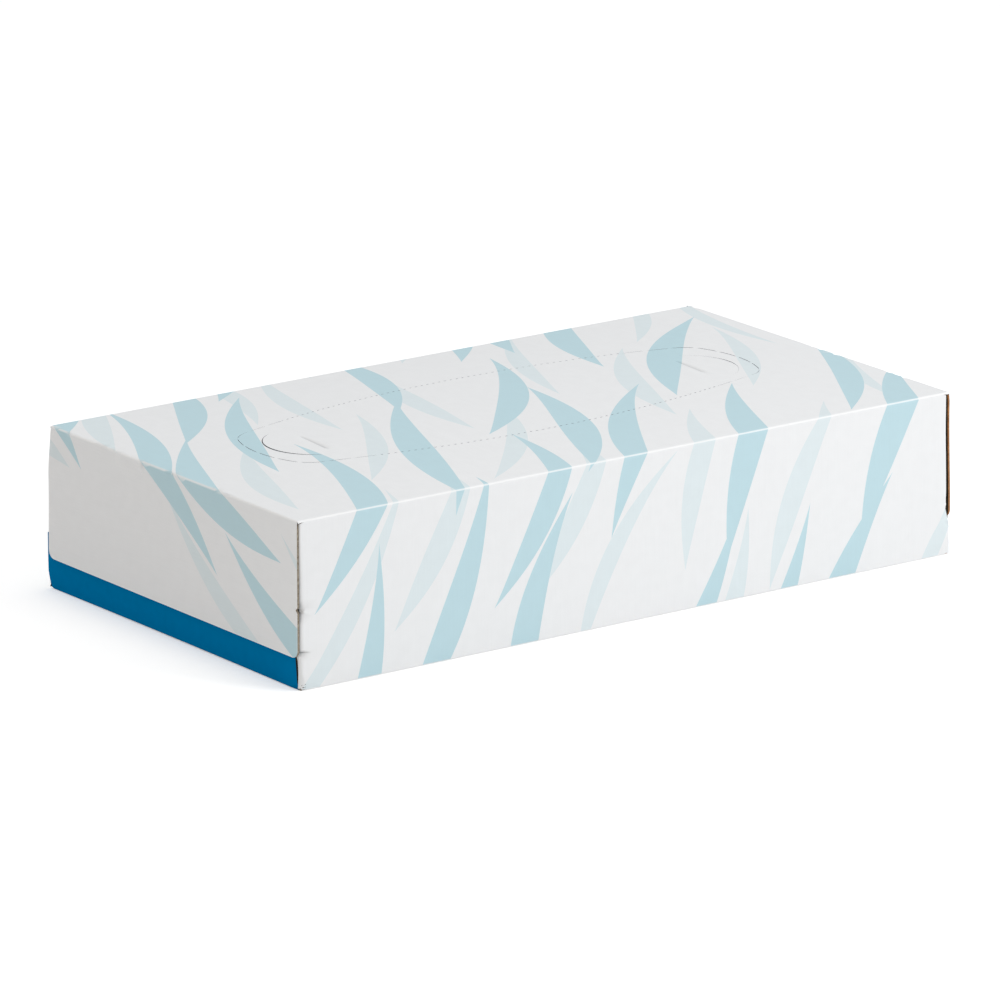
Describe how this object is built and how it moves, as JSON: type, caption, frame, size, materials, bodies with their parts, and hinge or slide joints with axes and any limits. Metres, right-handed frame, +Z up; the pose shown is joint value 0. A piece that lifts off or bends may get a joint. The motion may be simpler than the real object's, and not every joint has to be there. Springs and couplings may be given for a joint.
{
  "type": "tissue box",
  "caption": "Flat sealed facial-tissue carton with a perforated tear-out oval in its top and glued flaps at both ends.",
  "frame": {"origin": "middle of the base, on the surface that the carton rests on", "axes": "+X along the long walls, +Y from the front wall to the back wall, +Z up through the perforated top"},
  "size_m": [0.234, 0.1271, 0.0512],
  "materials": {
    "printed_board": "white-lined carton board, offset printed, with a satin water-based coating"
  },
  "bodies": {
    "root": {"tissue_carton": "printed_board"}
  },
  "joints": []
}
